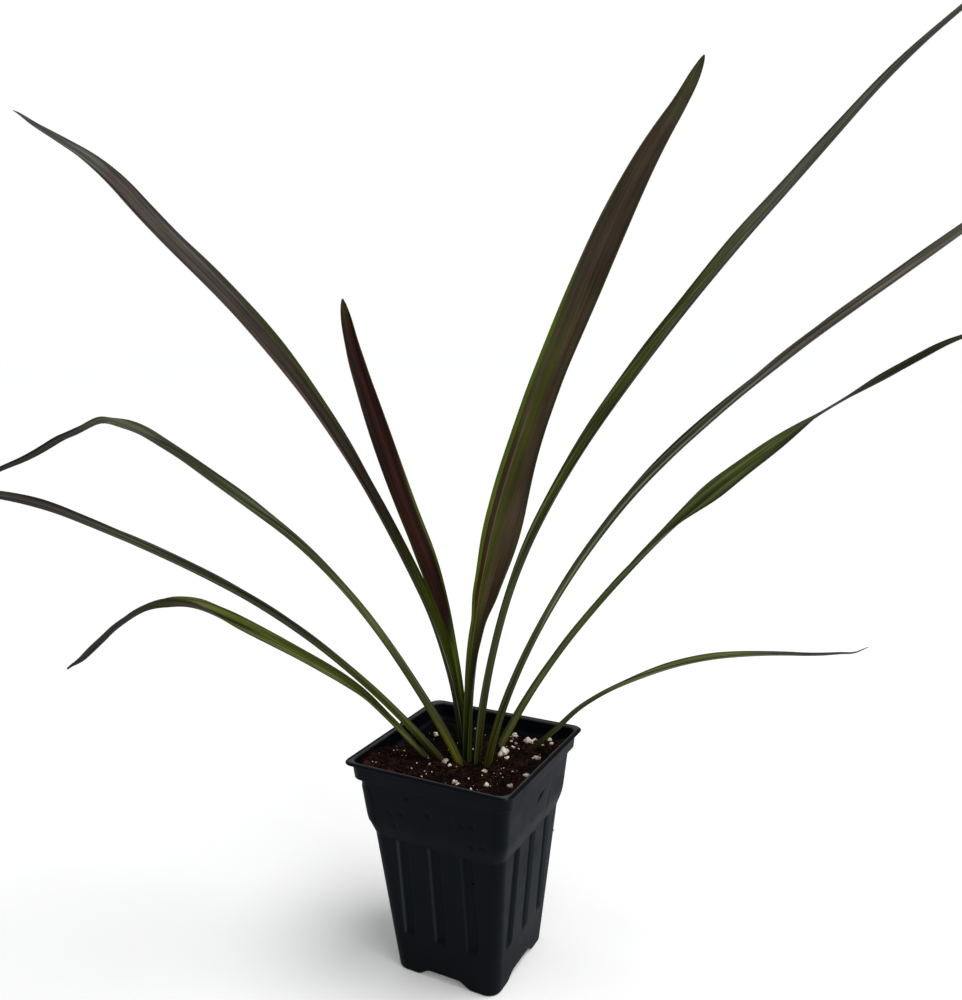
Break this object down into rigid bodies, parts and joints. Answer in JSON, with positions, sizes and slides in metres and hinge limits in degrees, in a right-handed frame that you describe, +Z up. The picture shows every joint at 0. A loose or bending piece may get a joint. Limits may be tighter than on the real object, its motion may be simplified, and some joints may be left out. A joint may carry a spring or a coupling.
{
  "type": "potted chocolate mint cordyline",
  "caption": "Young cordyline with long folded strap leaves fanning out of dark peat in a deep square fluted nursery pot.",
  "frame": {"origin": "on the ground under the middle of the pot's base, which is also about the middle of the whole plant seen from above", "axes": "+Z up, X and Y square to the pot's sides; the fan of leaves is widest along X, and -Y is the side seen on the left of the picture"},
  "size_m": [0.5623, 0.3729, 0.5519],
  "materials": {
    "black_pot": "black moulded plastic, satin, slightly dusty",
    "peat": "dark moist fibrous peat with white mineral grains",
    "dark_stem": "dark brown stem base",
    "leaf_low_left_skin": "olive green leaf with a dark crease, satin",
    "leaf_left_lower_skin": "dark green leaf with an olive rib, satin",
    "leaf_left_bent_skin": "olive green leaf, brownish where it bends, satin",
    "leaf_left_tall_skin": "grey-brown leaf with fine ribs and a green stalk, satin",
    "leaf_heart_skin": "dark maroon leaf with red streaks and green margins, satin",
    "leaf_broad_upright_skin": "chocolate brown leaf with a bright green margin strip, satin",
    "leaf_right_tall_skin": "dark green leaf with a light rib, satin",
    "leaf_right_upper_skin": "purplish brown and olive grey leaf, satin",
    "leaf_right_twisted_skin": "mid green leaf with a dark crease and a grey twist, satin",
    "leaf_right_small_skin": "olive leaf with a grey tip, satin"
  },
  "bodies": {
    "root": {"pot": "black_pot", "soil": "peat", "crown": "dark_stem", "leaf_low_left": "leaf_low_left_skin", "leaf_left_lower": "leaf_left_lower_skin", "leaf_left_bent": "leaf_left_bent_skin", "leaf_left_tall": "leaf_left_tall_skin", "leaf_heart": "leaf_heart_skin", "leaf_broad_upright": "leaf_broad_upright_skin", "leaf_right_tall": "leaf_right_tall_skin", "leaf_right_upper": "leaf_right_upper_skin", "leaf_right_twisted": "leaf_right_twisted_skin", "leaf_right_small": "leaf_right_small_skin"}
  },
  "joints": []
}
